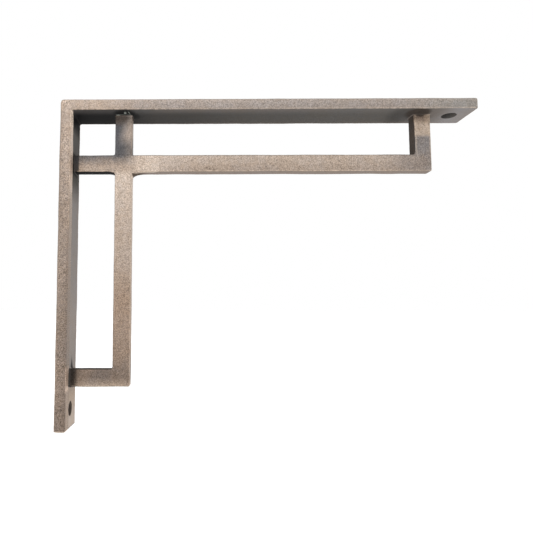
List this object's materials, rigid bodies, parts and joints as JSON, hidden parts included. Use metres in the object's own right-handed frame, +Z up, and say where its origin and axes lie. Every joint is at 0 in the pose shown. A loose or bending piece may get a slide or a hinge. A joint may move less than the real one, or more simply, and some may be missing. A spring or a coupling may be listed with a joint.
{
  "type": "shelf bracket",
  "caption": "Cast bronze shelf bracket: an L of flat plates braced by crossing straps that leave square, long and tall windows, with a screw hole in each tail.",
  "frame": {"origin": "middle of the face that lies against the wall: mid-height and mid-width of the wall plate's back", "axes": "+X leaves the wall along the shelf plate, +Z is up towards the shelf, Y runs across the bracket's width"},
  "size_m": [0.254, 0.0254, 0.2],
  "materials": {
    "bronze": "sand-cast bronze with a brown patina, rubbed back to a soft tan on its edges and side faces"
  },
  "bodies": {
    "root": {"bracket_casting": "bronze"}
  },
  "joints": []
}
